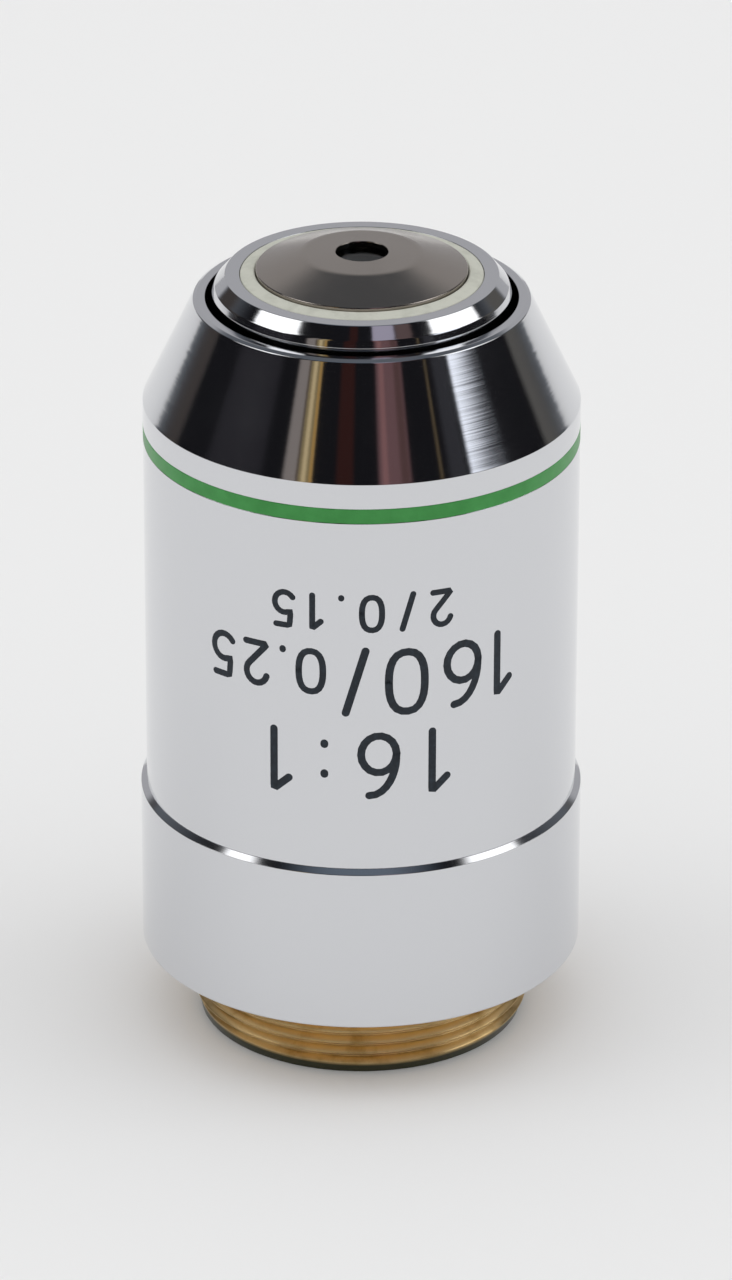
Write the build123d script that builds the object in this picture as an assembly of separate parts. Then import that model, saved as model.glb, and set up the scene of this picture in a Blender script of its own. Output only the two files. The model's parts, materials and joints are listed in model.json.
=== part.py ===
from build123d import *
from math import copysign, sqrt
import os

# A microscope objective with a spring-loaded nose, standing on the end of its mounting
# thread as it is put down beside a microscope. All sizes are in millimetres. +Z points up
# along the optical axis to the nose, and the origin is on that axis at the thread's end.
# Threads are drawn as plain cylinders at the radius of their crests.

# Clearances, on the radius
screwed_gap = 0.03  # screwed, pressed and cemented seats
sliding_gap = 0.05  # the barrel in its two guides
seat_gap = 0.02  # a spring coil or a curved glass face from what it rests on

# Mount: thread, shoulder, collar and the upstand that the sleeve screws onto
thread_radius = 10.16
thread_length = 4.85
thread_chamfer_width = 0.36
thread_chamfer_height = 0.75
thread_wall = 1.96
collar_height = 10.5
collar_step = 0.35
collar_bevel = 0.27
upstand_length = 5.0
upstand_wall = 1.24
guide_seat_depth = 5.4

# Outer sleeve: cylinder, cone and bevelled rim
sleeve_wall = 1.1
sleeve_length = 24.85
cone_height = 6.5
rim_width = 0.73
rim_depth = 1.8
rim_bevel_width = 0.23
rim_bevel_height = 0.13

# Colour band, let into the sleeve
band_width = 0.9
band_depth = 0.25
band_to_cone = 1.55

# Guide tube and stop ring
guide_wall = 1.3
guide_floor = 5.0
guide_to_cone = 2.25
stop_ring_height = 2.0
stop_ring_step = 0.6

# Guide screw in the tube's wall, and the barrel's flange that it keys
screw_radius = 1.0
screw_dog_radius = 0.7
screw_dog_length = 1.1
screw_slot_width = 0.3
screw_slot_depth = 0.4
flange_margin = 0.3

# Retraction spring, in the space between the barrel and the guide tube's bore
spring_space = 2.4
spring_wire_radius = 0.4
spring_turns = 5.5

# Moving barrel
travel = 2.0
travel_margin = 0.8
shim_thickness = 0.3
barrel_bore_radius = 5.6
barrel_wall = 1.3
barrel_rear_margin = 0.1
neck_step = 0.7

# Nose: clamping ring and seal, from the gap round the nose inwards
nose_gap = 0.4
nose_wall = 1.22
nose_proud = 1.4
nose_lip = 1.2
nose_ledge_width = 0.15
nose_ledge_drop = 0.39
nose_bevel_width = 0.63
nose_bevel_height = 0.71
nose_flat_width = 0.85
seal_width = 0.92
seal_depth = 1.3
seal_crown = 0.2

# Front cell
cap_flange_height = 1.2
cap_skirt_length = 2.4
cap_skirt_wall = 1.17
cap_step = 0.15
cap_cone_height = 0.95
cap_face_radius = 3.5
cap_face_crown = 0.08
cap_hole_radius = 1.55
cap_hole_depth = 0.4

# Front lens, flat face outwards
front_lens_radius = 2.4
front_lens_edge = 0.85
front_lens_dome_height = 1.35

# Lens cells and what lies between them. A dome height is that of a curved glass face over its
# rim, and an edge is a lens's thickness at its rim.
front_spacer_length = 3.5
cell_lip_width = 0.5
cell_lip_height = 0.8
cell_tail = 1.0
spacer_wall = 0.7
middle_spacer_length = 5.5
middle_cell_wall = 1.14
middle_crown_dome_height = 1.15
middle_crown_edge = 0.6
middle_cement_dome_height = 1.43
middle_flint_edge = 3.0
rear_cell_wall = 0.94
rear_crown_dome_height = 0.68
rear_crown_edge = 0.9
rear_cement_dome_height = 1.0
rear_flint_edge = 2.7

# Aperture stop and the retaining ring behind it
stop_thickness = 0.8
stop_width = 1.67
ring_height = 2.0
ring_inset = 0.8
ring_wall = 0.97
ring_slot_width = 1.0
ring_slot_depth = 0.8

# Heights of the fixed pieces, counted from the end of the thread
shoulder_z = thread_length
joint_z = shoulder_z + collar_height
cone_z = joint_z + sleeve_length
rim_z = cone_z + cone_height
band_top_z = cone_z - band_to_cone
band_z = band_top_z - band_width
guide_z = joint_z - guide_seat_depth
guide_floor_z = guide_z + guide_floor
guide_top_z = cone_z - guide_to_cone
stop_ring_z = guide_top_z - stop_ring_height

# Heights of the barrel, held forward against the stop ring
flange_height = travel + 2 * (screw_dog_radius + flange_margin)
flange_top_z = stop_ring_z - shim_thickness
flange_z = flange_top_z - flange_height
screw_z = flange_top_z - travel - flange_margin - screw_dog_radius
barrel_rear_z = guide_z + travel + barrel_rear_margin
nose_face_z = rim_z + nose_proud
seal_z = nose_face_z - seal_depth
cap_flange_z = seal_z - nose_lip
barrel_front_z = cap_flange_z - cap_flange_height
nose_ring_z = guide_top_z + travel + travel_margin
cap_skirt_z = barrel_front_z - cap_skirt_length
cap_foot_z = nose_face_z + seal_crown + cap_step
cap_face_z = cap_foot_z + cap_cone_height
cap_tip_z = cap_face_z + cap_face_crown
front_lens_z = cap_tip_z - cap_hole_depth
front_lens_rim_z = front_lens_z - front_lens_edge
ring_z = barrel_rear_z + ring_inset
stop_z = ring_z + ring_height
rear_spacer_z = stop_z + stop_thickness

# Radii of the fixed pieces, built up outwards from the barrel's bore
barrel_radius = barrel_bore_radius + barrel_wall
guide_bore_radius = barrel_radius + spring_space
guide_radius = guide_bore_radius + guide_wall
guide_seat_radius = guide_radius + screwed_gap
upstand_radius = guide_seat_radius + upstand_wall
sleeve_bore_radius = upstand_radius + screwed_gap
sleeve_radius = sleeve_bore_radius + sleeve_wall
collar_radius = sleeve_radius + collar_step
rear_bore_radius = thread_radius - thread_wall
stop_seat_radius = guide_bore_radius + stop_ring_step

# Radii of the barrel and what it carries
cell_radius = barrel_bore_radius - screwed_gap
flange_radius = guide_bore_radius - sliding_gap
neck_radius = barrel_radius + neck_step
nose_bore_radius = neck_radius + screwed_gap
nose_radius = nose_bore_radius + nose_wall
opening_radius = nose_radius + nose_gap
rim_radius = opening_radius + rim_width
ledge_radius = nose_radius - nose_ledge_width
nose_flat_radius = ledge_radius - nose_bevel_width
seal_seat_radius = nose_flat_radius - nose_flat_width
cap_seat_radius = seal_seat_radius - seal_width
cap_body_radius = cap_seat_radius - screwed_gap
cap_cavity_radius = cell_radius - cap_skirt_wall
front_seat_radius = front_lens_radius + screwed_gap


def turned(corners):
    # A turned piece, from the corners (radius, height) of its half section
    outline = Polyline(*[(radius, 0, height) for radius, height in corners], close=True)
    return revolve(make_face(outline), Axis.Z)


def ring(outer, inner, low, high):
    # A plain tube or washer
    return turned([(inner, low), (outer, low), (outer, high), (inner, high)])


def radial_rod(radius, start, end):
    # A round rod along +X at the height of the guide screw
    across = Plane((start, 0, screw_z), x_dir=(0, 1, 0), z_dir=(1, 0, 0))
    return across * Cylinder(radius, end - start, align=(Align.CENTER, Align.CENTER, Align.MIN))


def sag(dome, rim_radius, radius):
    # How far a spherical face, domed over its rim, has fallen from its middle at a radius
    if dome == 0:
        return 0.0
    curve = (rim_radius**2 + dome**2) / (2 * dome)
    return curve - copysign(sqrt(curve**2 - radius**2), curve)


def lens(radius, rim_low, rim_high, low_dome, high_dome):
    # A round lens between the heights of its two rims. A hollow face has a negative dome.
    outline = [Line((radius, 0, rim_low), (radius, 0, rim_high))]
    for rim, dome, outwards in ((rim_low, low_dome, -1), (rim_high, high_dome, 1)):
        edge = (radius, 0, rim)
        middle = (0, 0, rim + outwards * dome)
        half_way = (radius / 2, 0, rim + outwards * (dome - sag(dome, radius, radius / 2)))
        if dome == 0:
            outline.append(Line(edge, middle))
        else:
            outline.append(ThreePointArc(edge, half_way, middle))
    outline.append(Line(outline[1] @ 1, outline[2] @ 1))
    return revolve(make_face(Wire(outline)), Axis.Z)


def mount_body():
    # One turned brass piece, from the thread's end to the upstand inside the sleeve
    upstand_z = joint_z + upstand_length
    return turned([
        (rear_bore_radius, 0),
        (thread_radius - thread_chamfer_width, 0),
        (thread_radius, thread_chamfer_height),
        (thread_radius, shoulder_z),
        (collar_radius, shoulder_z),
        (collar_radius, joint_z - collar_bevel),
        (sleeve_radius, joint_z),
        (upstand_radius, joint_z),
        (upstand_radius, upstand_z),
        (guide_seat_radius, upstand_z),
        (guide_seat_radius, guide_z),
        (rear_bore_radius, guide_z),
    ])


def outer_sleeve():
    # Cylinder and cone with a narrow bevelled rim round the front opening, and the colour
    # band's groove
    groove_radius = sleeve_radius - band_depth - screwed_gap
    return turned([
        (sleeve_bore_radius, joint_z),
        (sleeve_radius, joint_z),
        (sleeve_radius, band_z),
        (groove_radius, band_z),
        (groove_radius, band_top_z),
        (sleeve_radius, band_top_z),
        (sleeve_radius, cone_z),
        (rim_radius, rim_z - rim_bevel_height),
        (rim_radius - rim_bevel_width, rim_z),
        (opening_radius, rim_z),
        (opening_radius, rim_z - rim_depth),
        (sleeve_bore_radius, cone_z - sleeve_wall / 2),
    ])


def colour_band():
    return ring(sleeve_radius, sleeve_radius - band_depth, band_z, band_top_z)


def guide_tube():
    # Cup whose bored floor guides the barrel's rear and carries the spring. Its wide bore
    # guides the flange, and its front end takes the stop ring.
    floor_bore_radius = barrel_radius + sliding_gap
    body = turned([
        (floor_bore_radius, guide_z),
        (guide_radius, guide_z),
        (guide_radius, guide_top_z),
        (stop_seat_radius, guide_top_z),
        (stop_seat_radius, stop_ring_z),
        (guide_bore_radius, stop_ring_z),
        (guide_bore_radius, guide_floor_z),
        (floor_bore_radius, guide_floor_z),
    ])
    screw_hole = radial_rod(screw_radius, barrel_radius, guide_radius + guide_wall)
    return body - screw_hole


def guide_screw():
    # Headless screw whose dog point lies in the flange's keyway and keeps the barrel from turning
    head_end = guide_radius - screwed_gap
    thread = radial_rod(screw_radius - screwed_gap, guide_bore_radius, head_end)
    dog = radial_rod(screw_dog_radius, guide_bore_radius - screw_dog_length, guide_bore_radius)
    driver_slot = Box(2 * screw_slot_depth, screw_slot_width, 3 * screw_radius)
    return thread + dog - Pos(head_end, 0, screw_z) * driver_slot


def stop_ring():
    # Screwed into the guide tube's front end, it stops the flange against the spring's push
    bore_radius = neck_radius + sliding_gap
    return ring(stop_seat_radius - screwed_gap, bore_radius, stop_ring_z, guide_top_z)


def retraction_spring():
    low = guide_floor_z + spring_wire_radius + seat_gap
    high = flange_z - spring_wire_radius - seat_gap
    coil_radius = (barrel_radius + guide_bore_radius) / 2
    coil = Pos(0, 0, low) * Helix((high - low) / spring_turns, high - low, coil_radius)
    wire_section = Plane(coil @ 0, z_dir=coil % 0) * Circle(spring_wire_radius)
    return sweep(wire_section, coil, is_frenet=True)


def lens_barrel():
    # Tube with the flange that the spring pushes on, and a keyway in the flange for the screw
    body = turned([
        (barrel_bore_radius, barrel_rear_z),
        (barrel_radius, barrel_rear_z),
        (barrel_radius, flange_z),
        (flange_radius, flange_z),
        (flange_radius, flange_top_z),
        (neck_radius, flange_top_z),
        (neck_radius, barrel_front_z),
        (barrel_bore_radius, barrel_front_z),
    ])
    keyway_depth = screw_dog_length + sliding_gap
    keyway = Box(2 * keyway_depth, 2 * (screw_dog_radius + sliding_gap), flange_height)
    return body - Pos(guide_bore_radius, 0, (flange_z + flange_top_z) / 2) * keyway


def parfocal_shim():
    # Thin washer chosen at assembly, which sets how far forward the lenses stand
    return ring(flange_radius - sliding_gap, neck_radius + screwed_gap, flange_top_z, stop_ring_z)


def nose_ring():
    # Screwed over the barrel's neck, its inner lip clamps the front cell's flange
    return turned([
        (nose_bore_radius, nose_ring_z),
        (nose_radius, nose_ring_z),
        (nose_radius, nose_face_z - nose_bevel_height - nose_ledge_drop),
        (ledge_radius, nose_face_z - nose_bevel_height),
        (nose_flat_radius, nose_face_z),
        (seal_seat_radius, nose_face_z),
        (seal_seat_radius, seal_z),
        (cap_seat_radius, seal_z),
        (cap_seat_radius, cap_flange_z),
        (nose_bore_radius, cap_flange_z),
    ])


def seal_ring():
    # Pale seal round the front cell, its top rising towards the cell
    return turned([
        (cap_seat_radius, seal_z),
        (seal_seat_radius - screwed_gap, seal_z),
        (seal_seat_radius - screwed_gap, nose_face_z),
        (cap_seat_radius, nose_face_z + seal_crown),
    ])


def front_cap():
    # Front cell: skirt in the barrel, clamped flange, coned front and the front lens's seat
    widening = cap_cavity_radius - front_seat_radius
    return turned([
        (cap_cavity_radius, cap_skirt_z),
        (cell_radius, cap_skirt_z),
        (cell_radius, barrel_front_z),
        (neck_radius, barrel_front_z),
        (neck_radius, cap_flange_z),
        (cap_body_radius, cap_flange_z),
        (cap_body_radius, cap_foot_z),
        (cap_face_radius, cap_face_z),
        (cap_hole_radius, cap_tip_z),
        (cap_hole_radius, front_lens_z),
        (front_seat_radius, front_lens_z),
        (front_seat_radius, front_lens_rim_z),
        (cap_cavity_radius, front_lens_rim_z - widening),
    ])


def front_lens():
    return lens(front_lens_radius, front_lens_rim_z, front_lens_z, front_lens_dome_height, 0)


def spacer(low, high):
    return ring(cell_radius, cell_radius - spacer_wall, low, high)


def lens_group(cell_top, cell_wall, crown_dome, crown_edge, cement_dome, flint_edge):
    # A tube with a lip at its front end, and in it a cemented pair: a crown lens, domed on
    # both faces, whose front face rests on the lip's edge, and a flint lens, flat at the rear.
    # Returns the three pieces and the height of the tube's rear end.
    seat_radius = cell_radius - cell_wall
    radius = seat_radius - screwed_gap
    lip_radius = seat_radius - cell_lip_width
    lip_z = cell_top - cell_lip_height
    crown_rim_z = lip_z - seat_gap - crown_dome + sag(crown_dome, radius, lip_radius)
    cement_rim_z = crown_rim_z - crown_edge
    flint_rear_z = cement_rim_z - flint_edge
    cell_z = flint_rear_z - cell_tail
    cell = turned([
        (seat_radius, cell_z),
        (cell_radius, cell_z),
        (cell_radius, cell_top),
        (lip_radius, cell_top),
        (lip_radius, lip_z),
        (seat_radius, lip_z),
    ])
    crown = lens(radius, cement_rim_z, crown_rim_z, cement_dome, crown_dome)
    flint = lens(radius, flint_rear_z, cement_rim_z, 0, -cement_dome)
    return cell, crown, flint, cell_z


def aperture_stop():
    return ring(cell_radius, cell_radius - stop_width, stop_z, rear_spacer_z)


def retaining_ring():
    # Threaded ring that closes the barrel's rear, with two slots for a spanner
    body = ring(cell_radius, cell_radius - ring_wall, ring_z, stop_z)
    slots = Box(3 * cell_radius, ring_slot_width, 2 * ring_slot_depth)
    return body - Pos(0, 0, ring_z) * slots


# The lenses are stacked back from the front cell's skirt
middle_cell_top_z = cap_skirt_z - front_spacer_length
middle_cell, middle_crown, middle_flint, middle_cell_z = lens_group(
    middle_cell_top_z, middle_cell_wall, middle_crown_dome_height, middle_crown_edge,
    middle_cement_dome_height, middle_flint_edge)
rear_cell_top_z = middle_cell_z - middle_spacer_length
rear_cell, rear_crown, rear_flint, rear_cell_z = lens_group(
    rear_cell_top_z, rear_cell_wall, rear_crown_dome_height, rear_crown_edge,
    rear_cement_dome_height, rear_flint_edge)

parts = {
    "mount_body": mount_body(),
    "outer_sleeve": outer_sleeve(),
    "colour_band": colour_band(),
    "guide_tube": guide_tube(),
    "guide_screw": guide_screw(),
    "stop_ring": stop_ring(),
    "retraction_spring": retraction_spring(),
    "lens_barrel": lens_barrel(),
    "parfocal_shim": parfocal_shim(),
    "nose_ring": nose_ring(),
    "seal_ring": seal_ring(),
    "front_cap": front_cap(),
    "front_lens": front_lens(),
    "front_spacer": spacer(middle_cell_top_z, cap_skirt_z),
    "middle_cell": middle_cell,
    "middle_crown_lens": middle_crown,
    "middle_flint_lens": middle_flint,
    "middle_spacer": spacer(rear_cell_top_z, middle_cell_z),
    "rear_cell": rear_cell,
    "rear_crown_lens": rear_crown,
    "rear_flint_lens": rear_flint,
    "rear_spacer": spacer(rear_spacer_z, rear_cell_z),
    "aperture_stop": aperture_stop(),
    "retaining_ring": retaining_ring(),
}

os.makedirs("parts", exist_ok=True)
for name, solid in parts.items():
    export_step(solid, f"parts/{name}.step")
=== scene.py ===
import json
import bpy
import numpy as np
from mathutils import Matrix, Vector


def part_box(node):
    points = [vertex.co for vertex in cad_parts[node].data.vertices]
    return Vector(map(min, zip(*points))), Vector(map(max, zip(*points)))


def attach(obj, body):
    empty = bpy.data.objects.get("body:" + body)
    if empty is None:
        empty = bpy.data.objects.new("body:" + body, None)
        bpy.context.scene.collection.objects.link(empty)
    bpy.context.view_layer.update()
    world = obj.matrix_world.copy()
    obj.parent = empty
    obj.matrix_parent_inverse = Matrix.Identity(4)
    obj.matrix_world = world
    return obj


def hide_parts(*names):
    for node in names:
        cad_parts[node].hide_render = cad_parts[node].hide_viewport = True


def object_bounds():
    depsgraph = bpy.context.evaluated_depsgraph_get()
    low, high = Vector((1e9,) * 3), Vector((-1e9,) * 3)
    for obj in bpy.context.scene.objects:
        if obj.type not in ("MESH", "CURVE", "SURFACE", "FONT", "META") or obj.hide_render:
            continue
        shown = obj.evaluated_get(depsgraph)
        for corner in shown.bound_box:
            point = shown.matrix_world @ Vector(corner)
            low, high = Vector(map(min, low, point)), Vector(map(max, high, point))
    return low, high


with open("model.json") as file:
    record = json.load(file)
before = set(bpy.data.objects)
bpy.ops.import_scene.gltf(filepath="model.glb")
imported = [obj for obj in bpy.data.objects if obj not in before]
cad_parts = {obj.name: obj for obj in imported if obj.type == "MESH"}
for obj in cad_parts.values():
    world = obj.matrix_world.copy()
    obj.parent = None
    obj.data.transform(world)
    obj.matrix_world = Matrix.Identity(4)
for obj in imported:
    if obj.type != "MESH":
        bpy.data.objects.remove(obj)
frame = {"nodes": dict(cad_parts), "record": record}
cadLow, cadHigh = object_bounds()

# A microscope objective standing on its mounting thread. Sizes here are in millimetres, and
# Blender works in metres.
mm = 0.001


def linear(hexColour):
    # An sRGB hex colour as linear light, which is what the nodes take
    value = np.array([int(hexColour[i:i + 2], 16) for i in (1, 3, 5)]) / 255
    light = np.where(value <= 0.04045, value / 12.92, ((value + 0.055) / 1.055) ** 2.4)
    return (*light.tolist(), 1.0)


def add(tree, kind, sockets=None, **settings):
    # Adds a node, with its settings, and with a value or a link for each named socket
    node = tree.nodes.new(kind)
    for name, value in settings.items():
        setattr(node, name, value)
    for name, value in (sockets or {}).items():
        if isinstance(value, bpy.types.NodeSocket):
            tree.links.new(value, node.inputs[name])
        else:
            node.inputs[name].default_value = value
    return node


def span(node):
    # The outer radius of a turned CAD node, and the heights of its two ends
    low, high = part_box(node)
    return high.x / mm, low.z / mm, high.z / mm


# Sizes that several pieces share, read from the frame
mounts = {mount["name"]: mount for mount in frame["record"]["mounts"]}
threadRadius = mounts["mounting_thread"]["dims"]["r_mm"]
shoulderZ = mounts["shoulder"]["pos_m"][2] / mm
collarRadius, threadEndZ, upstandZ = span("mount_body")
sleeveRadius, jointZ, rimZ = span("outer_sleeve")
bandRadius, bandLowZ, bandHighZ = span("colour_band")
noseRadius, noseRearZ, noseFaceZ = span("nose_ring")
sealRadius, sealZ, sealTopZ = span("seal_ring")
neckRadius, capSkirtZ, tipZ = span("front_cap")
lensRadius, lensFaceZ = span("front_lens")[::2]
guideZ = span("guide_tube")[1]
barrelFrontZ = span("lens_barrel")[2]
print("frame read")


def roundedOutline(corners, steps=6):
    # Each corner (radius, height, rounding) becomes an arc. A point on it is the arc's centre
    # plus the rounding times the outward normal, turned by a share of the angle between the
    # two sides. Returns the points and their outward normals.
    corner = np.array(corners, float)
    place, rounding = corner[:, :2], corner[:, 2]
    after = np.roll(place, -1, 0) - place
    after /= np.linalg.norm(after, axis=1, keepdims=True)
    before = np.roll(after, 1, 0)
    turn = np.arctan2(before[:, 0] * after[:, 1] - before[:, 1] * after[:, 0],
                      (before * after).sum(1))
    signed = np.sign(turn) * rounding
    outward = np.stack([before[:, 1], -before[:, 0]], 1)
    start = place - before * (rounding * np.tan(abs(turn) / 2))[:, None]
    centre = start - outward * signed[:, None]
    angle = turn[:, None] * np.linspace(0, 1, steps + 1)
    cos, sin = np.cos(angle), np.sin(angle)
    across, along = outward[:, :1], outward[:, 1:]
    normal = np.stack([across * cos - along * sin, across * sin + along * cos], 2)
    points = centre[:, None, :] + normal * signed[:, None, None]
    return points.reshape(-1, 2), normal.reshape(-1, 2)


def gridFaces(rows, columns):
    # The four-sided faces of a grid that closes on itself in both directions
    row, column = np.meshgrid(np.arange(rows), np.arange(columns), indexing="ij")
    nextRow, nextColumn = (row + 1) % rows, (column + 1) % columns
    faces = np.stack([row * columns + column, row * columns + nextColumn,
                      nextRow * columns + nextColumn, nextRow * columns + column], 2)
    return faces.reshape(-1, 4)


def newPiece(name, points, faces, normals=None):
    # Puts whole arrays into a smooth mesh, in metres
    mesh = bpy.data.meshes.new(name)
    mesh.from_pydata((points.reshape(-1, 3) * mm).tolist(), [], faces.tolist())
    mesh.shade_smooth()
    if normals is not None:
        mesh.normals_split_custom_set_from_vertices(normals.reshape(-1, 3).tolist())
    piece = bpy.data.objects.new(name, mesh)
    bpy.context.scene.collection.objects.link(piece)
    return piece


def turnedPiece(name, outline, segments=360, shape=None):
    # The outline carried round the axis: x is the radius times the cosine of the angle, y the
    # radius times its sine. A shape changes radius and height with the angle, and where it
    # does, the normal is the cross product of the grid's two directions.
    points, outlineNormals = outline
    angle = np.linspace(0, 2 * np.pi, segments, endpoint=False)[None, :]
    cos, sin = np.cos(angle), np.sin(angle)
    radius = np.repeat(points[:, :1], segments, 1)
    height = np.repeat(points[:, 1:], segments, 1)
    normal = np.stack([outlineNormals[:, :1] * cos, outlineNormals[:, :1] * sin,
                       np.repeat(outlineNormals[:, 1:], segments, 1)], 2)
    if shape is None:
        place = np.stack([radius * cos, radius * sin, height], 2)
    else:
        newRadius, newHeight = shape(radius, height, angle)
        place = np.stack([newRadius * cos, newRadius * sin, newHeight], 2)
        roundwards = np.roll(place, -1, 1) - np.roll(place, 1, 1)
        alongwards = np.roll(place, -1, 0) - np.roll(place, 1, 0)
        shaped = np.cross(roundwards, alongwards)
        shaped /= np.maximum(np.linalg.norm(shaped, axis=2, keepdims=True), 1e-12)
        moved = abs(newRadius - radius) + abs(newHeight - height) > 1e-4
        normal = np.where(moved[:, :, None], shaped, normal)
    return newPiece(name, place, gridFaces(len(points), segments), normal)


def dress(piece, material, body, replaced=()):
    # Gives a finished piece its material, its body and what it stands for
    piece.data.materials.append(material)
    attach(piece, body)
    if replaced:
        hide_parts(*replaced)


# Materials

def startMaterial(name):
    material = bpy.data.materials.new(name)
    material.use_nodes = True
    tree = material.node_tree
    tree.nodes.clear()
    shader = add(tree, "ShaderNodeBsdfPrincipled")
    add(tree, "ShaderNodeOutputMaterial", {"Surface": shader.outputs["BSDF"]})
    return material, tree, shader


def placeInMm(tree):
    # The place on the object, in millimetres
    place = add(tree, "ShaderNodeTexCoord").outputs["Object"]
    return add(tree, "ShaderNodeVectorMath", {0: place, 1: (1000, 1000, 1000)},
               operation="MULTIPLY").outputs["Vector"]


def turningRings(tree, place, perMm, detail=2.0):
    # Noise of the distance from the axis and the height alone, as the marks of a lathe are
    flat = add(tree, "ShaderNodeVectorMath", {0: place, 1: (1, 1, 0)},
               operation="MULTIPLY").outputs["Vector"]
    radius = add(tree, "ShaderNodeVectorMath", {0: flat}, operation="LENGTH").outputs["Value"]
    height = add(tree, "ShaderNodeSeparateXYZ", {0: place}).outputs["Z"]
    profile = add(tree, "ShaderNodeCombineXYZ", {"X": radius, "Y": height}).outputs["Vector"]
    return add(tree, "ShaderNodeTexNoise", {"Vector": profile, "Scale": perMm, "Detail": detail,
                                            "Roughness": 0.6}, noise_dimensions="2D").outputs["Fac"]


def spots(tree, place, sizeInMm, low, high, detail=4.0):
    # Soft patches, 0 below the low level of the noise and 1 above the high one
    noise = add(tree, "ShaderNodeTexNoise", {"Vector": place, "Scale": 1 / sizeInMm,
                                             "Detail": detail, "Roughness": 0.6}).outputs["Fac"]
    return add(tree, "ShaderNodeMapRange", {"Value": noise, "From Min": low,
                                            "From Max": high}).outputs["Result"]


def mixed(tree, share, first, second):
    # A colour between two, by a share
    return add(tree, "ShaderNodeMix", {0: share, 6: first, 7: second},
               data_type="RGBA").outputs[2]


def finishTurned(tree, shader, place, look, roughness):
    # A turned finish: rings as relief, and highlights drawn out along the axis, which is a
    # quarter turn from the way that the rings run
    bump = add(tree, "ShaderNodeBump", {"Height": turningRings(tree, place, look["ringsPerMm"]),
                                        "Distance": look["ringHeight"] * mm})
    shader.inputs["Anisotropic"].default_value = look["anisotropy"]
    shader.inputs["Anisotropic Rotation"].default_value = 0.25
    tree.links.new(roughness.outputs["Value"], shader.inputs["Roughness"])
    tree.links.new(bump.outputs["Normal"], shader.inputs["Normal"])


def makeSatinChrome():
    # Chrome plate over finely turned brass: a cool mirror whose turning rings draw each
    # reflection out along the axis
    look = {"colour": "#D9DADD", "roughness": 0.08, "hazeRoughness": 0.03, "anisotropy": 0.8,
            "ringsPerMm": 3.0, "ringHeight": 0.0026, "smudgeSize": 6.0}
    material, tree, shader = startMaterial("satinChrome")
    place = placeInMm(tree)
    smudges = spots(tree, place, look["smudgeSize"], 0.5, 0.75)
    roughness = add(tree, "ShaderNodeMath", {0: smudges, 1: look["hazeRoughness"],
                                             2: look["roughness"]}, operation="MULTIPLY_ADD")
    shader.inputs["Base Color"].default_value = linear(look["colour"])
    shader.inputs["Metallic"].default_value = 1.0
    finishTurned(tree, shader, place, look, roughness)
    return material


def makePlatedBrass():
    # Turned brass, chromed down to the shoulder and bare on the thread: cool above that edge
    # and golden below it, with darker stains where fingers and oil have been. The bevel at the
    # thread's end is painted a dark olive, as painted shade for the contact shadow that it mirrors.
    look = {"chrome": "#D9DADD", "brass": "#E0C088", "stain": "#B08A4C", "footShade": "#4C4C3A",
            "footShadeFrom": 0.74, "footShadeFull": 0.5, "roughness": 0.08, "bareRoughness": 0.2,
            "anisotropy": 0.7, "ringsPerMm": 2.5, "ringHeight": 0.0012, "plateEnd": 0.03,
            "stainSize": 1.5}
    material, tree, shader = startMaterial("platedBrass")
    place = placeInMm(tree)
    height = add(tree, "ShaderNodeSeparateXYZ", {0: place}).outputs["Z"]
    bare = add(tree, "ShaderNodeMapRange", {
        "Value": height, "From Min": shoulderZ - look["plateEnd"],
        "From Max": shoulderZ - 2 * look["plateEnd"]}).outputs["Result"]
    brass = mixed(tree, spots(tree, place, look["stainSize"], 0.5, 0.85),
                  linear(look["brass"]), linear(look["stain"]))
    # Painted shade: below the last crest the bevel darkens to olive, for the contact shadow it
    # mirrors
    end = add(tree, "ShaderNodeMapRange", {
        "Value": height, "From Min": look["footShadeFrom"],
        "From Max": look["footShadeFull"]}).outputs["Result"]
    brass = mixed(tree, end, brass, linear(look["footShade"]))
    roughness = add(tree, "ShaderNodeMath", {0: bare, 1: look["bareRoughness"],
                                             2: look["roughness"]}, operation="MULTIPLY_ADD")
    shader.inputs["Metallic"].default_value = 1.0
    tree.links.new(mixed(tree, bare, linear(look["chrome"]), brass), shader.inputs["Base Color"])
    finishTurned(tree, shader, place, look, roughness)
    return material


def makeDarkNickel():
    # Dark nickel plate over turned brass: half as bright as chrome, warm grey and a little soft.
    # The hole's wall, below a thin rim at the tip, is near-black and not metallic.
    look = {"colour": "#ACA49C", "inside": "#0B0A09", "roughness": 0.18,
            "hazeRoughness": 0.08, "anisotropy": 0.5, "ringsPerMm": 4.0,
            "ringHeight": 0.0008, "smudgeSize": 2.0, "holeRadius": 1.6, "edgeDepth": 0.06}
    material, tree, shader = startMaterial("darkNickel")
    place = placeInMm(tree)
    flat = add(tree, "ShaderNodeVectorMath", {0: place, 1: (1, 1, 0)},
               operation="MULTIPLY").outputs["Vector"]
    radius = add(tree, "ShaderNodeVectorMath", {0: flat}, operation="LENGTH").outputs["Value"]
    height = add(tree, "ShaderNodeSeparateXYZ", {0: place}).outputs["Z"]
    within = add(tree, "ShaderNodeMath", {0: radius, 1: look["holeRadius"]},
                 operation="LESS_THAN").outputs["Value"]
    below = add(tree, "ShaderNodeMath", {0: height, 1: tipZ - look["edgeDepth"]},
                operation="LESS_THAN").outputs["Value"]
    inside = add(tree, "ShaderNodeMath", {0: within, 1: below},
                 operation="MULTIPLY").outputs["Value"]
    shine = add(tree, "ShaderNodeMath", {0: 1.0, 1: inside}, operation="SUBTRACT").outputs["Value"]
    roughness = add(tree, "ShaderNodeMath", {
        0: spots(tree, place, look["smudgeSize"], 0.45, 0.75), 1: look["hazeRoughness"],
        2: look["roughness"]}, operation="MULTIPLY_ADD")
    tree.links.new(mixed(tree, inside, linear(look["colour"]), linear(look["inside"])),
                   shader.inputs["Base Color"])
    tree.links.new(shine, shader.inputs["Metallic"])
    finishTurned(tree, shader, place, look, roughness)
    return material


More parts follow.
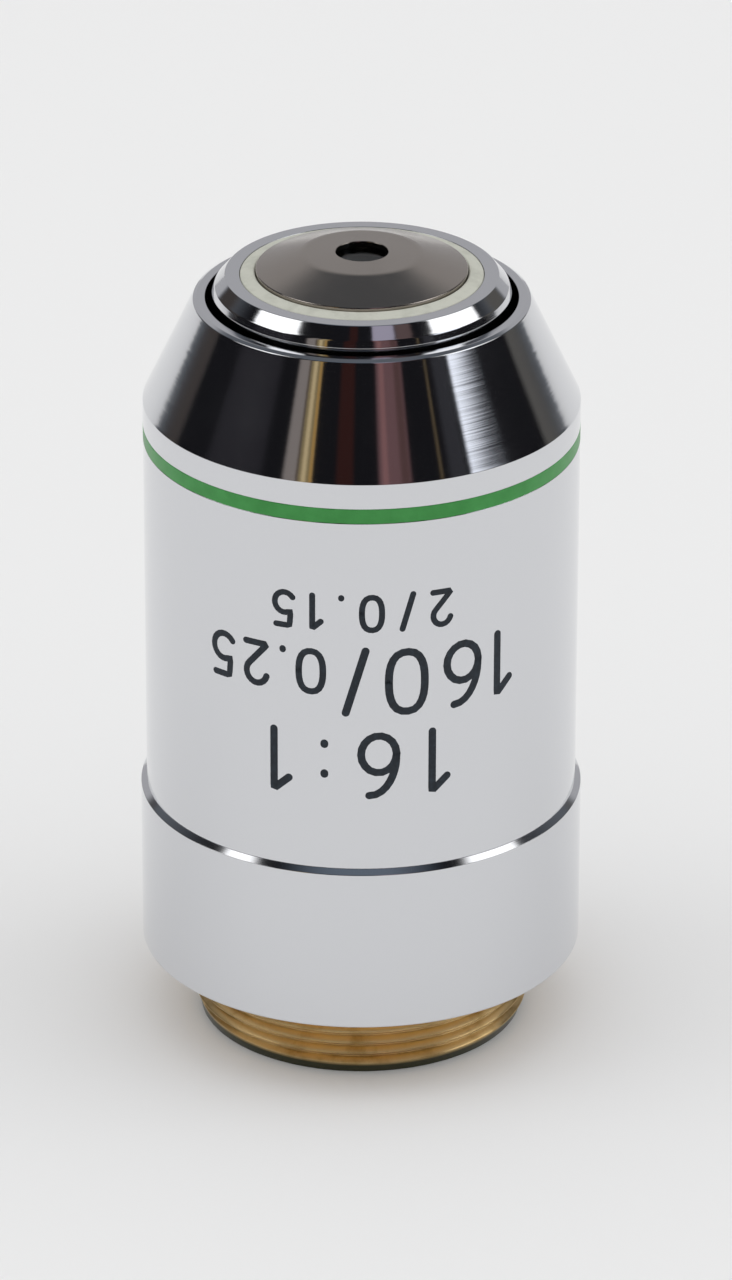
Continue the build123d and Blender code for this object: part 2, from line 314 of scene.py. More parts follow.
def makeGreenEnamel():
    # Enamel run into the groove and wiped flush: a clear mid green, slightly uneven
    look = {"colour": "#278232", "thin": "#348E3E", "roughness": 0.35, "patchSize": 1.2,
            "unevenHeight": 0.004}
    material, tree, shader = startMaterial("greenEnamel")
    place = placeInMm(tree)
    patches = spots(tree, place, look["patchSize"], 0.35, 0.7)
    bump = add(tree, "ShaderNodeBump", {"Height": patches, "Distance": look["unevenHeight"] * mm})
    shader.inputs["Roughness"].default_value = look["roughness"]
    tree.links.new(mixed(tree, patches, linear(look["colour"]), linear(look["thin"])),
                   shader.inputs["Base Color"])
    tree.links.new(bump.outputs["Normal"], shader.inputs["Normal"])
    return material


def makeSealCompound():
    # Matt cream sealing compound, cast in place: no gloss, a faint grain, darker in patches
    look = {"colour": "#BFC0B5", "worn": "#ADAEA3", "roughness": 0.75, "patchSize": 0.9,
            "grainSize": 0.12, "grainHeight": 0.006}
    material, tree, shader = startMaterial("sealCompound")
    place = placeInMm(tree)
    grain = add(tree, "ShaderNodeTexNoise", {"Vector": place, "Scale": 1 / look["grainSize"],
                                             "Detail": 3.0}).outputs["Fac"]
    bump = add(tree, "ShaderNodeBump", {"Height": grain, "Distance": look["grainHeight"] * mm})
    shader.inputs["Roughness"].default_value = look["roughness"]
    tree.links.new(mixed(tree, spots(tree, place, look["patchSize"], 0.45, 0.8),
                         linear(look["colour"]), linear(look["worn"])),
                   shader.inputs["Base Color"])
    tree.links.new(bump.outputs["Normal"], shader.inputs["Normal"])
    return material


def makeLetterPaint():
    # Engraving filled with blue-black paint, wiped flush: nearly matt, thinner in places
    look = {"colour": "#0F1A25", "thin": "#22303C", "roughness": 0.6, "patchSize": 0.25}
    material, tree, shader = startMaterial("letterPaint")
    place = placeInMm(tree)
    shader.inputs["Roughness"].default_value = look["roughness"]
    tree.links.new(mixed(tree, spots(tree, place, look["patchSize"], 0.45, 0.8),
                         linear(look["colour"]), linear(look["thin"])),
                   shader.inputs["Base Color"])
    return material


def makeBlackenedBrass():
    # Chemically blackened brass, turned: matt near-black, with brass showing faintly on its rings
    look = {"colour": "#141417", "rubbed": "#4A3C24", "roughness": 0.55, "metal": 0.6,
            "ringsPerMm": 4.0, "ringHeight": 0.002}
    material, tree, shader = startMaterial("blackenedBrass")
    place = placeInMm(tree)
    rings = turningRings(tree, place, look["ringsPerMm"])
    rubbed = add(tree, "ShaderNodeMapRange", {"Value": rings, "From Min": 0.62, "From Max": 0.8,
                                              "To Max": 0.5}).outputs["Result"]
    bump = add(tree, "ShaderNodeBump", {"Height": rings, "Distance": look["ringHeight"] * mm})
    shader.inputs["Metallic"].default_value = look["metal"]
    shader.inputs["Roughness"].default_value = look["roughness"]
    tree.links.new(mixed(tree, rubbed, linear(look["colour"]), linear(look["rubbed"])),
                   shader.inputs["Base Color"])
    tree.links.new(bump.outputs["Normal"], shader.inputs["Normal"])
    return material


def makeSpringSteel():
    # Drawn steel wire and turned screw steel: grey, with fine lines
    look = {"colour": "#A9AAAD", "dull": "#7F8083", "roughness": 0.3,
            "dullRoughness": 0.12, "patchSize": 0.6}
    material, tree, shader = startMaterial("springSteel")
    place = placeInMm(tree)
    patches = spots(tree, place, look["patchSize"], 0.4, 0.75)
    roughness = add(tree, "ShaderNodeMath", {0: patches, 1: look["dullRoughness"],
                                             2: look["roughness"]}, operation="MULTIPLY_ADD")
    shader.inputs["Metallic"].default_value = 1.0
    tree.links.new(mixed(tree, patches, linear(look["colour"]), linear(look["dull"])),
                   shader.inputs["Base Color"])
    tree.links.new(roughness.outputs["Value"], shader.inputs["Roughness"])
    return material


def makeGlass(name, tint, ior):
    # Polished optical glass with a coating that takes most of its mirror image away, which is
    # why the front lens looks black in its hole. The crown's IOR is low for the same reason.
    look = {"coatedShine": 0.02, "dustSize": 0.4, "dustRoughness": 0.1, "roughness": 0.01}
    material, tree, shader = startMaterial(name)
    place = placeInMm(tree)
    dust = spots(tree, place, look["dustSize"], 0.7, 0.85)
    roughness = add(tree, "ShaderNodeMath", {0: dust, 1: look["dustRoughness"],
                                             2: look["roughness"]}, operation="MULTIPLY_ADD")
    shader.inputs["Base Color"].default_value = linear(tint)
    shader.inputs["Transmission Weight"].default_value = 1.0
    shader.inputs["IOR"].default_value = ior
    shader.inputs["Specular IOR Level"].default_value = look["coatedShine"]
    tree.links.new(roughness.outputs["Value"], shader.inputs["Roughness"])
    return material


satinChrome = makeSatinChrome()
platedBrass = makePlatedBrass()
darkNickel = makeDarkNickel()
greenEnamel = makeGreenEnamel()
sealCompound = makeSealCompound()
letterPaint = makeLetterPaint()
blackenedBrass = makeBlackenedBrass()
springSteel = makeSpringSteel()
crownGlass = makeGlass("crownGlass", "#F2F7F6", 1.2)
flintGlass = makeGlass("flintGlass", "#F6F5EC", 1.62)
print("materials made")


# Mount: thread, shoulder, collar and the upstand inside the sleeve
mount = {"threadWall": 1.96, "chamferWidth": 0.36, "chamferHeight": 0.75, "threadPitch": 0.7056,
         "threadDepth": 0.42, "threadRows": 96, "reliefWidth": 0.5, "reliefRunOut": 0.15,
         "crestSharpness": 0.93, "upstandWall": 1.24, "sleeveWall": 1.1, "gap": 0.03,
         "bevelHeight": 0.27, "softEdge": 0.05, "collarEdge": 0.15, "boreEdge": 0.12}


def mountThread(radius, height, angle):
    # The crests' radius less the thread's depth times a wave of the height, less a pitch for
    # each turn. The wave is a triangle with soft tips: the arc sine of a sine a little below 1.
    # A relief of full depth lies under the shoulder.
    turns = height / mount["threadPitch"] - angle / (2 * np.pi)
    soft = mount["crestSharpness"]
    wave = np.arcsin(soft * np.sin(2 * np.pi * turns)) / np.arcsin(soft)
    reliefZ = shoulderZ - mount["reliefWidth"]
    plain = np.clip((height - reliefZ) / mount["reliefRunOut"] + 0.5, 0, 1)
    cut = mount["threadDepth"] * ((1 - plain) * (0.5 - 0.5 * wave) + plain)
    outside = (radius > threadRadius - mount["chamferWidth"] - 0.01) & (radius < threadRadius + 0.1)
    threaded = outside & (height < shoulderZ + 0.001)
    return np.where(threaded, np.minimum(radius, threadRadius - cut), radius), height


def makeMount():
    rearBore = threadRadius - mount["threadWall"]
    upstandRadius = sleeveRadius - mount["sleeveWall"] - mount["gap"]
    guideSeat = upstandRadius - mount["upstandWall"]
    soft = mount["softEdge"]
    points, normals = roundedOutline([
        (rearBore, threadEndZ, mount["boreEdge"]),
        (threadRadius - mount["chamferWidth"], threadEndZ, soft),
        (threadRadius, threadEndZ + mount["chamferHeight"], soft),
        (threadRadius, shoulderZ, soft),
        (collarRadius, shoulderZ, mount["collarEdge"]),
        (collarRadius, jointZ - mount["bevelHeight"], soft),
        (sleeveRadius, jointZ, soft / 2),
        (upstandRadius, jointZ, soft),
        (upstandRadius, upstandZ, mount["boreEdge"]),
        (guideSeat, upstandZ, mount["boreEdge"]),
        (guideSeat, guideZ, soft),
        (rearBore, guideZ, soft),
    ])
    arc = len(points) // 12
    low, high = points[3 * arc - 1, 1], points[3 * arc, 1]
    rows = np.linspace(low, high, mount["threadRows"] + 2)[1:-1]
    thread = np.stack([np.full_like(rows, threadRadius), rows], 1)
    outwards = np.tile([1.0, 0.0], (len(rows), 1))
    outline = (np.concatenate([points[:3 * arc], thread, points[3 * arc:]]),
               np.concatenate([normals[:3 * arc], outwards, normals[3 * arc:]]))
    piece = turnedPiece("mount_collar_and_thread", outline, shape=mountThread)
    dress(piece, platedBrass, "housing", ["mount_body"])


# Outer sleeve: cylinder, cone and rim, with the groove for the colour band
sleeve = {"wall": 1.1, "grooveDepth": 0.28, "coneHeight": 6.5, "rimWidth": 0.73, "noseGap": 0.4,
          "rimDepth": 1.8, "rimBevelWidth": 0.23, "rimBevelHeight": 0.13, "softEdge": 0.04,
          "coneEdge": 0.1, "rimEdge": 0.12, "boreEdge": 0.06}


def makeSleeve():
    bore = sleeveRadius - sleeve["wall"]
    groove = sleeveRadius - sleeve["grooveDepth"]
    opening = noseRadius + sleeve["noseGap"]
    rim = opening + sleeve["rimWidth"]
    coneZ = rimZ - sleeve["coneHeight"]
    soft = sleeve["softEdge"]
    outline = roundedOutline([
        (bore, jointZ, sleeve["boreEdge"]),
        (sleeveRadius, jointZ, soft),
        (sleeveRadius, bandLowZ, soft),
        (groove, bandLowZ, soft),
        (groove, bandHighZ, soft),
        (sleeveRadius, bandHighZ, soft),
        (sleeveRadius, coneZ, sleeve["coneEdge"]),
        (rim, rimZ - sleeve["rimBevelHeight"], sleeve["rimEdge"]),
        (rim - sleeve["rimBevelWidth"], rimZ, sleeve["rimEdge"]),
        (opening, rimZ, sleeve["boreEdge"]),
        (opening, rimZ - sleeve["rimDepth"], sleeve["boreEdge"]),
        (bore, coneZ - sleeve["wall"] / 2, sleeve["boreEdge"]),
    ])
    piece = turnedPiece("chromed_sleeve", outline)
    dress(piece, satinChrome, "housing", ["outer_sleeve"])


# Colour band: enamel in the sleeve's groove, with edges that wander a little
band = {"depth": 0.25, "proud": 0.006, "edge": 0.03, "wander": 0.02}


def bandEdges(radius, height, angle):
    # Each edge wanders by a sum of sines of the angle, differently above and below
    middle = (bandLowZ + bandHighZ) / 2
    upper = np.sin(23 * angle) + np.sin(57 * angle + 1.3) + 0.7 * np.sin(131 * angle + 0.4)
    lower = np.sin(19 * angle + 2.1) + np.sin(71 * angle) + 0.7 * np.sin(117 * angle + 1.9)
    outer = radius > bandRadius - band["depth"] / 2
    wander = band["wander"] * np.where(height > middle, upper, lower) / 2.7
    return radius, np.where(outer, height + wander, height)


def makeBand():
    inner, outer = bandRadius - band["depth"], bandRadius + band["proud"]
    edge = band["edge"]
    outline = roundedOutline([(inner, bandLowZ, edge), (outer, bandLowZ, edge),
                              (outer, bandHighZ, edge), (inner, bandHighZ, edge)], steps=3)
    piece = turnedPiece("enamel_band", outline, segments=720, shape=bandEdges)
    dress(piece, greenEnamel, "housing", ["colour_band"])


# Nose: clamping ring with bevel and ledge, the seal, and the front cell
nose = {"wall": 1.22, "ledgeWidth": 0.15, "ledgeDrop": 0.39, "bevelWidth": 0.63,
        "bevelHeight": 0.71, "flatWidth": 0.85, "sealWidth": 0.92, "lip": 1.2, "softEdge": 0.04,
        "bevelEdge": 0.08, "ledgeEdge": 0.3, "outerEdge": 0.12}
noseLedge = noseRadius - nose["ledgeWidth"]
noseFlat = noseLedge - nose["bevelWidth"]
sealSeat = noseFlat - nose["flatWidth"]
capSeat = sealSeat - nose["sealWidth"]


def makeNoseRing():
    bore = noseRadius - nose["wall"]
    ledgeZ = noseFaceZ - nose["bevelHeight"]
    soft = nose["softEdge"]
    outline = roundedOutline([
        (bore, noseRearZ, soft),
        (noseRadius, noseRearZ, nose["outerEdge"]),
        (noseRadius, ledgeZ - nose["ledgeDrop"], nose["outerEdge"]),
        (noseLedge, ledgeZ, nose["ledgeEdge"]),
        (noseFlat, noseFaceZ, nose["bevelEdge"]),
        (sealSeat, noseFaceZ, soft),
        (sealSeat, sealZ, soft),
        (capSeat, sealZ, soft),
        (capSeat, sealZ - nose["lip"], soft),
        (bore, sealZ - nose["lip"], soft),
    ])
    piece = turnedPiece("bevelled_nose_ring", outline)
    dress(piece, satinChrome, "barrel", ["nose_ring"])


seal = {"outerEdge": 0.08, "innerEdge": 0.12, "softEdge": 0.03}


def makeSeal():
    outline = roundedOutline([
        (capSeat, sealZ, seal["softEdge"]),
        (sealRadius, sealZ, seal["softEdge"]),
        (sealRadius, noseFaceZ, seal["outerEdge"]),
        (capSeat, sealTopZ, seal["innerEdge"]),
    ])
    piece = turnedPiece("cream_seal", outline)
    dress(piece, sealCompound, "barrel", ["seal_ring"])


cap = {"flangeHeight": 1.2, "skirtRadius": 5.57, "skirtWall": 1.17, "gap": 0.03, "step": 0.15,
       "coneHeight": 0.95, "faceRadius": 3.5, "holeRadius": 1.55, "lensEdge": 0.85,
       "softEdge": 0.05, "footEdge": 0.1, "faceEdge": 1.5, "holeEdge": 0.06}


def makeCap():
    # The front cell, with the skirt in the barrel and the lens's seat
    body = capSeat - cap["gap"]
    cavity = cap["skirtRadius"] - cap["skirtWall"]
    seat = lensRadius + cap["gap"]
    flangeZ = barrelFrontZ + cap["flangeHeight"]
    footZ = sealTopZ + cap["step"]
    soft = cap["softEdge"]
    outline = roundedOutline([
        (cavity, capSkirtZ, soft),
        (cap["skirtRadius"], capSkirtZ, soft),
        (cap["skirtRadius"], barrelFrontZ, soft),
        (neckRadius, barrelFrontZ, soft),
        (neckRadius, flangeZ, soft),
        (body, flangeZ, soft),
        (body, footZ, cap["footEdge"]),
        (cap["faceRadius"], footZ + cap["coneHeight"], cap["faceEdge"]),
        (cap["holeRadius"], tipZ, cap["holeEdge"]),
        (cap["holeRadius"], lensFaceZ, soft),
        (seat, lensFaceZ, soft),
        (seat, lensFaceZ - cap["lensEdge"], soft),
        (cavity, lensFaceZ - cap["lensEdge"] - (cavity - seat), soft),
    ])
    piece = turnedPiece("dark_front_cell", outline)
    dress(piece, darkNickel, "barrel", ["front_cap"])


makeMount()
makeSleeve()
makeBand()
makeNoseRing()
makeSeal()
makeCap()
print("turned pieces made")


# Lettering: plain numbers in three rows, upside down while the objective stands on its thread.
# Each glyph is a list of strokes, and each stroke is worked out in a box one unit high.
lettering = {"proud": 0.012, "sunk": 0.03, "across": 5, "along": 28, "cap": 6}
rowOfNumbers = [
    {"text": "2/0.15", "baseZ": 33.05, "height": 2.1, "stroke": 0.36, "start": 24.6, "end": -23.6},
    {"text": "160/", "baseZ": 29.45, "height": 3.85, "stroke": 0.48, "start": 43.1, "end": -5.0},
    {"text": "0.25", "baseZ": 29.45, "height": 2.6, "stroke": 0.40, "start": -9.0, "end": -42.4},
    {"text": "16:1", "baseZ": 24.1, "height": 3.9, "stroke": 0.47, "start": 24.0, "end": -24.2},
]


def arcPath(centreX, centreY, radiusX, radiusY, startDeg, endDeg, count=28):
    # Part of an ellipse: centre plus radii times the cosine and sine of the angle
    angle = np.radians(np.linspace(startDeg, endDeg, count))
    return np.stack([centreX + radiusX * np.cos(angle), centreY + radiusY * np.sin(angle)], 1)


def linePath(*corners):
    return np.array(corners, float)


def oval(width, low, high, count=40):
    # A closed oval with straight flanks: the sine and cosine, raised to a power below 1
    angle = np.linspace(0, 2 * np.pi, count)
    cos, sin = np.cos(angle), np.sin(angle)
    return np.stack([width / 2 + width / 2 * np.sign(cos) * abs(cos) ** 0.8,
                     (low + high) / 2 + (high - low) / 2 * np.sign(sin) * abs(sin) ** 0.8], 1)


# Glyph name to (width, strokes)
glyphs = {
    "0": (0.56, [oval(0.56, 0, 1)]),
    "1": (0.24, [linePath((0, 0.78), (0.24, 1.0), (0.24, 0))]),
    "2": (0.54, [np.concatenate([arcPath(0.27, 0.72, 0.26, 0.28, 165, -35),
                                 linePath((0, 0), (0.54, 0))])]),
    "5": (0.52, [np.concatenate([linePath((0.48, 1), (0.08, 1), (0.05, 0.56)),
                                 arcPath(0.23, 0.31, 0.29, 0.31, 110, -145)])]),
    "6": (0.54, [np.concatenate([arcPath(0.40, 0.33, 0.40, 0.67, 88, 165),
                                 arcPath(0.27, 0.31, 0.27, 0.31, 180, 540)])]),
    "/": (0.30, [linePath((0, -0.04), (0.30, 1.0))]),
    ".": (0.0, [linePath((0, 0.02), (0, 0.04))]),
    ":": (0.0, [linePath((0, 0.14), (0, 0.16)), linePath((0, 0.64), (0, 0.66))]),
}


def evenPath(path, count):
    # The same path, its points an even distance apart
    step = np.linalg.norm(np.diff(path, axis=0), axis=1)
    length = np.concatenate([[0], np.cumsum(step)])
    at = np.linspace(0, length[-1], count)
    return np.stack([np.interp(at, length, path[:, 0]), np.interp(at, length, path[:, 1])], 1)


def strokeGrid(path, width):
    # A ribbon with round ends. Across, a point is the path's plus the normal times a share of
    # the half width. Past each end the path runs on straight, and the half width there is the
    # height of a half circle over that distance.
    half = width / 2
    path = evenPath(path, lettering["along"])
    heading = np.gradient(path, axis=0)
    heading /= np.linalg.norm(heading, axis=1, keepdims=True)
    past = half * np.sin(np.linspace(1, 0, lettering["cap"], endpoint=False) * np.pi / 2)
    before = path[0] - heading[0] * past[:, None]
    after = path[-1] + heading[-1] * past[::-1, None]
    centre = np.concatenate([before, path, after])
    heading = np.concatenate([np.repeat(heading[:1], len(past), 0), heading,
                              np.repeat(heading[-1:], len(past), 0)])
    taper = np.sqrt(np.maximum(half ** 2 - past ** 2, (0.02 * half) ** 2))
    halfWidth = np.concatenate([taper, np.full(len(path), half), taper[::-1]])
    side = np.stack([-heading[:, 1], heading[:, 0]], 1)
    share = np.linspace(-1, 1, lettering["across"])
    return centre[:, None, :] + side[:, None, :] * (halfWidth[:, None] * share)[:, :, None]


def wrapStroke(flat):
    # Lays a ribbon round the cylinder as a closed film: the angle is the distance along the row
    # over the radius. The film's top stands just proud of the chrome and its back lies in it.
    rows, columns = flat.shape[:2]
    around = np.concatenate([flat, flat[:, ::-1]], 1)
    radius = np.full((rows, 2 * columns), sleeveRadius + lettering["proud"])
    radius[:, columns:] = sleeveRadius - lettering["sunk"]
    angle = around[:, :, 0] / sleeveRadius
    place = np.stack([radius * np.sin(angle), -radius * np.cos(angle), around[:, :, 1]], 2)
    row, column = np.meshgrid(np.arange(rows - 1), np.arange(2 * columns), indexing="ij")
    nextColumn = (column + 1) % (2 * columns)
    sides = np.stack([row * 2 * columns + column, row * 2 * columns + nextColumn,
                      (row + 1) * 2 * columns + nextColumn, (row + 1) * 2 * columns + column], 2)
    first = np.arange(columns - 1)
    end = np.stack([first, 2 * columns - 1 - first, 2 * columns - 2 - first, first + 1], 1)
    last = (rows - 1) * 2 * columns
    faces = np.concatenate([sides.reshape(-1, 4), end, last + end[:, ::-1]])
    return place.reshape(-1, 3), faces


def makeLettering():
    allPoints, allFaces, count = [], [], 0
    for line in rowOfNumbers:
        height, stroke = line["height"], line["stroke"]
        widths = np.array([glyphs[letter][0] for letter in line["text"]]) * height
        room = np.radians(line["start"] - line["end"]) * sleeveRadius - stroke
        space = (room - widths.sum()) / max(len(widths) - 1, 1)
        startX = np.radians(line["start"]) * sleeveRadius - stroke / 2
        offsets = np.concatenate([[0], np.cumsum(widths[:-1] + space)])
        for letter, offset in zip(line["text"], offsets):
            for path in glyphs[letter][1]:
                flat = strokeGrid(path * height, stroke)
                flat = np.stack([startX - offset - flat[:, :, 0], line["baseZ"] - flat[:, :, 1]], 2)
                place, faces = wrapStroke(flat)
                allPoints.append(place)
                allFaces.append(faces + count)
                count += len(place)
    piece = newPiece("engraved_numbers", np.concatenate(allPoints), np.concatenate(allFaces))
    piece.data.shade_flat()
    dress(piece, letterPaint, "housing")


makeLettering()
print("lettering made")


# CAD nodes whose shape is right keep it and get their finish here
finishes = {
    "guide_tube": blackenedBrass, "guide_screw": springSteel, "stop_ring": blackenedBrass,
    "retraction_spring": springSteel, "lens_barrel": blackenedBrass, "parfocal_shim": springSteel,
    "front_lens": crownGlass, "front_spacer": blackenedBrass, "middle_cell": blackenedBrass,
    "middle_crown_lens": crownGlass, "middle_flint_lens": flintGlass,
    "middle_spacer": blackenedBrass, "rear_cell": blackenedBrass, "rear_crown_lens": crownGlass,
    "rear_flint_lens": flintGlass, "rear_spacer": blackenedBrass, "aperture_stop": blackenedBrass,
    "retaining_ring": blackenedBrass,
}
for node, material in finishes.items():
    mesh = frame["nodes"][node].data
    mesh.materials.clear()
    mesh.materials.append(material)
print("carried nodes finished")


# Floor
floor = {"size": 6.0, "drop": 0.00002, "colour": "#ECECEC", "roughness": 0.9, "shine": 0.2}


def makeFloor():
    half, low = floor["size"] / 2, -floor["drop"]
    mesh = bpy.data.meshes.new("floor")
    mesh.from_pydata([(-half, -half, low), (half, -half, low), (half, half, low),
                      (-half, half, low)], [], [(0, 1, 2, 3)])
    plane = bpy.data.objects.new("floor", mesh)
    bpy.context.scene.collection.objects.link(plane)
    material, tree, shader = startMaterial("paleCard")
    shader.inputs["Base Color"].default_value = linear(floor["colour"])
    shader.inputs["Roughness"].default_value = floor["roughness"]
    shader.inputs["Specular IOR Level"].default_value = floor["shine"]
    mesh.materials.append(material)


# Lamps: a wide soft one overhead and one to each side, at an azimuth from the camera's side
# towards +X. The polished metal mirrors the painted room in their place.
lamps = [
    {"name": "overheadLamp", "azimuth": 0, "elevation": 90, "distance": 1.2, "width": 3.0,
     "height": 3.0, "light": 0.25},
    {"name": "leftLamp", "azimuth": -84, "elevation": 43, "distance": 0.6, "width": 0.46,
     "height": 0.42, "light": 0.4},
    {"name": "rightLamp", "azimuth": 88, "elevation": 40, "distance": 0.6, "width": 0.6,
     "height": 0.5, "light": 0.35},
]


def direction(azimuth, elevation):
    across, up = np.radians(azimuth), np.radians(elevation)
    return Vector((np.sin(across) * np.cos(up), -np.cos(across) * np.cos(up), np.sin(up)))


def makeLamps():
    middle = (cadLow + cadHigh) / 2
    for lamp in lamps:
        data = bpy.data.lights.new(lamp["name"], "AREA")
        data.shape = "RECTANGLE"
        data.size, data.size_y = lamp["width"], lamp["height"]
        # A lamp's power is its light times its area times pi
        data.energy = lamp["light"] * lamp["width"] * lamp["height"] * np.pi
        thing = bpy.data.objects.new(lamp["name"], data)
        thing.visible_glossy = False
        towards = direction(lamp["azimuth"], lamp["elevation"])
        thing.matrix_world = Matrix.Translation(middle + towards * lamp["distance"]) @ \
            towards.to_track_quat("Z", "Y").to_matrix().to_4x4()
        bpy.context.scene.collection.objects.link(thing)


# The room that the polished metal mirrors: dark in front, a pale backdrop behind, and a bright
# window to each side. Each part spans so many degrees to each side of an azimuth, and from a
# low to a high elevation, with soft edges. Light is what its colour is multiplied by.
room = {
    "background": "#E8E8E8", "softLight": "#DCDCDC", "dark": "#18181B", "ceiling": "#68727E",
    "ceilingFrom": 64.0, "ceilingTo": 78.0,
    "parts": [
        {"name": "upper wall", "azimuth": 180, "half": 60, "soft": 15, "low": -30, "high": 85,
         "softHeight": 8, "colour": "#62666C", "light": 1.0},
        {"name": "backdrop", "azimuth": 180, "half": 39, "soft": 3, "low": -30, "high": 43,
         "softHeight": 9, "colour": "#B4B4B7", "light": 1.0},
        {"name": "left wall", "azimuth": -124, "half": 16, "soft": 3, "low": 3, "high": 22,
         "softHeight": 3, "colour": "#443F3D", "light": 1.0},
        {"name": "right wall", "azimuth": 124, "half": 16, "soft": 3, "low": 3, "high": 22,
         "softHeight": 3, "colour": "#5C5A57", "light": 1.0},
        {"name": "dim shelf", "azimuth": -70, "half": 16, "soft": 3, "low": -10, "high": 30,
         "softHeight": 4, "colour": "#29282C", "light": 1.0},
        {"name": "left window", "azimuth": -84, "half": 18.5, "soft": 1.5, "low": 29, "high": 60,
         "softHeight": 2, "colour": "#FFFFFF", "light": 1.7},
        {"name": "right window", "azimuth": 91, "half": 20, "soft": 1.5, "low": 25, "high": 60,
         "softHeight": 2, "colour": "#FFFFFF", "light": 1.7},
        {"name": "right window's foot", "azimuth": 71, "half": 11.5, "soft": 1.5, "low": 19.5,
         "high": 36, "softHeight": 2, "colour": "#F2F6FF", "light": 1.5},
        {"name": "pale frame", "azimuth": -38, "half": 4, "soft": 1.5, "low": -10, "high": 45,
         "softHeight": 4, "colour": "#857D79", "light": 1.0},
        {"name": "golden frame", "azimuth": -30.5, "half": 4, "soft": 1.2, "low": -10, "high": 45,
         "softHeight": 4, "colour": "#857656", "light": 1.0},
        {"name": "golden edge", "azimuth": -31, "half": 1.2, "soft": 0.8, "low": -10, "high": 45,
         "softHeight": 4, "colour": "#C2AE86", "light": 1.0},
        {"name": "dark joint", "azimuth": -34.6, "half": 0.7, "soft": 0.5, "low": -10, "high": 45,
         "softHeight": 4, "colour": "#5A5048", "light": 1.0},
        {"name": "amber edge", "azimuth": -27.3, "half": 0.8, "soft": 0.5, "low": -10, "high": 45,
         "softHeight": 4, "colour": "#A8854E", "light": 1.0},
        {"name": "dark red", "azimuth": -9, "half": 4.5, "soft": 1.5, "low": -10, "high": 65,
         "softHeight": 4, "colour": "#331D1B", "light": 1.0},
        {"name": "pink", "azimuth": 18, "half": 8.5, "soft": 1.5, "low": -10, "high": 52,
         "softHeight": 4, "colour": "#6C5153", "light": 1.0},
        {"name": "pink edge", "azimuth": 13, "half": 1.5, "soft": 1, "low": -10, "high": 52,
         "softHeight": 4, "colour": "#856060", "light": 1.0},
        {"name": "pink shade", "azimuth": 23.5, "half": 2.2, "soft": 1.5, "low": -10, "high": 52,
         "softHeight": 4, "colour": "#56403F", "light": 1.0},
        {"name": "brass edge", "azimuth": 43, "half": 0.8, "soft": 0.6, "low": -10, "high": 30,
         "softHeight": 4, "colour": "#584C3A", "light": 1.0},
        {"name": "lilac", "azimuth": 24, "half": 12, "soft": 1.5, "low": 52, "high": 72,
         "softHeight": 3, "colour": "#A8A2B2", "light": 1.0},
        {"name": "brown", "azimuth": 45, "half": 8, "soft": 2, "low": 48, "high": 70,
         "softHeight": 4, "colour": "#60504F", "light": 1.0},
        {"name": "grey frame", "azimuth": 52, "half": 4.5, "soft": 2, "low": -10, "high": 40,
         "softHeight": 4, "colour": "#343438", "light": 1.0},
    ],
}


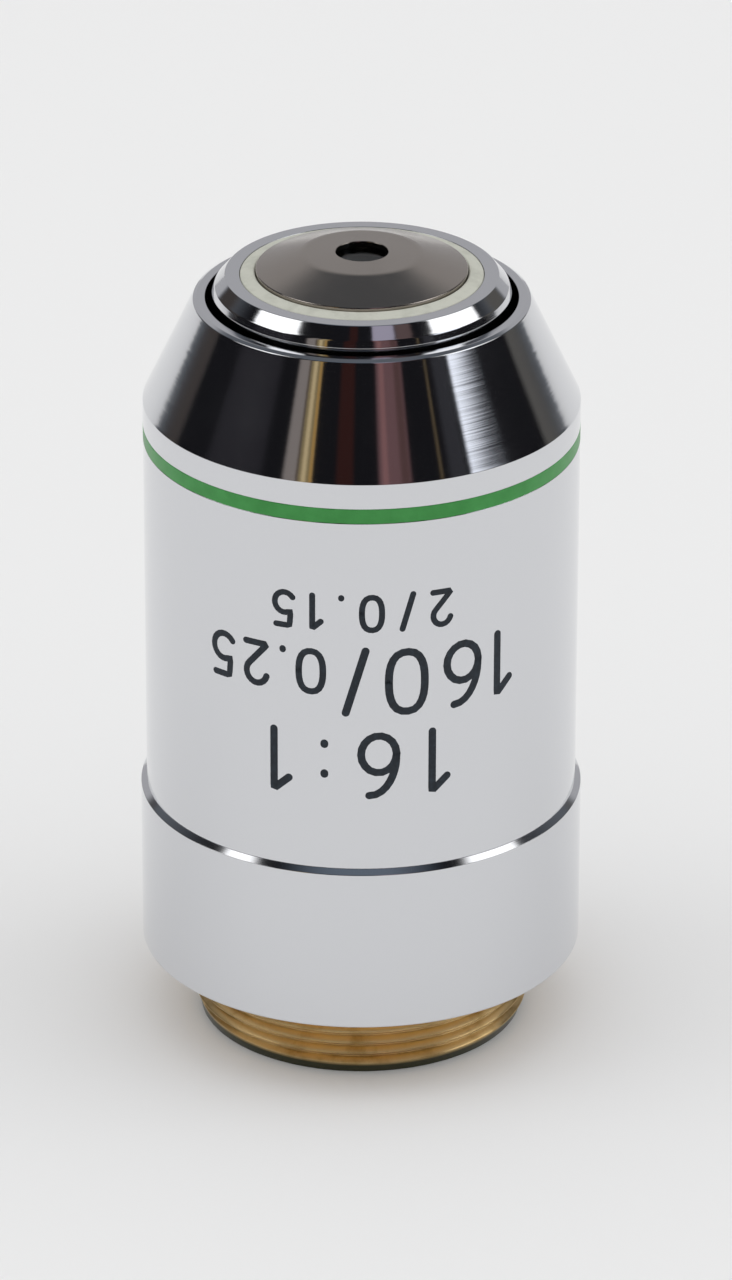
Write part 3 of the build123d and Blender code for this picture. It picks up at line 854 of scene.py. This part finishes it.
def makeRoom():
    world = bpy.data.worlds.new("studioRoom")
    bpy.context.scene.world = world
    world.use_nodes = True
    tree = world.node_tree
    tree.nodes.clear()
    towards = add(tree, "ShaderNodeTexCoord").outputs["Generated"]
    axes = add(tree, "ShaderNodeSeparateXYZ", {0: towards})
    ahead = add(tree, "ShaderNodeMath", {0: axes.outputs["Y"], 1: -1.0}, operation="MULTIPLY")
    turn = add(tree, "ShaderNodeMath", {0: axes.outputs["X"], 1: ahead.outputs["Value"]},
               operation="ARCTAN2")
    rise = add(tree, "ShaderNodeMath", {0: axes.outputs["Z"]}, operation="ARCSINE")
    azimuth = add(tree, "ShaderNodeMath", {0: turn.outputs["Value"]},
                  operation="DEGREES").outputs["Value"]
    elevation = add(tree, "ShaderNodeMath", {0: rise.outputs["Value"]},
                    operation="DEGREES").outputs["Value"]
    high = add(tree, "ShaderNodeMapRange", {
        "Value": elevation, "From Min": room["ceilingFrom"], "From Max": room["ceilingTo"]},
        interpolation_type="SMOOTHSTEP").outputs["Result"]
    colour = mixed(tree, high, linear(room["dark"]), linear(room["ceiling"]))
    for part in room["parts"]:
        # How far off the part's middle, the short way round
        off = add(tree, "ShaderNodeMath", {0: azimuth, 1: part["azimuth"]}, operation="SUBTRACT")
        wrapped = add(tree, "ShaderNodeMath", {0: off.outputs["Value"], 1: 180.0, 2: -180.0},
                      operation="WRAP")
        aside = add(tree, "ShaderNodeMath", {0: wrapped.outputs["Value"]}, operation="ABSOLUTE")
        near = add(tree, "ShaderNodeMapRange", {
            "Value": aside.outputs["Value"], "From Min": part["half"] + part["soft"],
            "From Max": part["half"] - part["soft"]}, interpolation_type="SMOOTHSTEP")
        below = add(tree, "ShaderNodeMapRange", {
            "Value": elevation, "From Min": part["high"] + part["softHeight"],
            "From Max": part["high"] - part["softHeight"]}, interpolation_type="SMOOTHSTEP")
        above = add(tree, "ShaderNodeMapRange", {
            "Value": elevation, "From Min": part["low"] - part["softHeight"],
            "From Max": part["low"] + part["softHeight"]}, interpolation_type="SMOOTHSTEP")
        level = add(tree, "ShaderNodeMath", {
            0: above.outputs["Result"], 1: below.outputs["Result"]},
            operation="MULTIPLY").outputs["Value"]
        share = add(tree, "ShaderNodeMath", {0: near.outputs["Result"], 1: level},
                    operation="MULTIPLY").outputs["Value"]
        light = tuple(part["light"] * value for value in linear(part["colour"])[:3])
        colour = mixed(tree, share, colour, (*light, 1.0))
    path = add(tree, "ShaderNodeLightPath")
    # The floor and the enamel get an even light from all round, also by way of the chrome
    lit = add(tree, "ShaderNodeMath", {0: path.outputs["Diffuse Depth"], 1: 0.5},
              operation="GREATER_THAN").outputs["Value"]
    colour = mixed(tree, lit, colour, linear(room["softLight"]))
    seen = add(tree, "ShaderNodeMath", {0: path.outputs["Is Camera Ray"],
                                        1: path.outputs["Is Transmission Ray"]},
               operation="MAXIMUM").outputs["Value"]
    colour = mixed(tree, seen, colour, linear(room["background"]))
    shine = add(tree, "ShaderNodeBackground", {"Color": colour})
    add(tree, "ShaderNodeOutputWorld", {"Surface": shine.outputs["Background"]})


# Camera: fitted to the photograph's edges. Distance and aim are for a sleeve 26 mm wide.
camera = {"lens": 205.8, "distance": 440.9, "elevation": 25.244, "aimHeight": 24.208,
          "aimAcross": 0.286, "roll": 0.121}


def makeCamera():
    data = bpy.data.cameras.new("camera")
    data.sensor_width = 36.0
    data.lens = camera["lens"]
    data.clip_start, data.clip_end = 0.01, 20.0
    thing = bpy.data.objects.new("camera", data)
    aim = Vector((camera["aimAcross"], 0, camera["aimHeight"])) * mm
    back = direction(0, camera["elevation"])
    thing.matrix_world = Matrix.Translation(aim + back * camera["distance"] * mm) @ \
        back.to_track_quat("Z", "Y").to_matrix().to_4x4() @ \
        Matrix.Rotation(np.radians(camera["roll"]), 4, "Z")
    bpy.context.scene.collection.objects.link(thing)
    bpy.context.scene.camera = thing


makeFloor()
makeLamps()
makeRoom()
makeCamera()
bpy.context.scene.view_settings.view_transform = "Standard"
print("studio made")
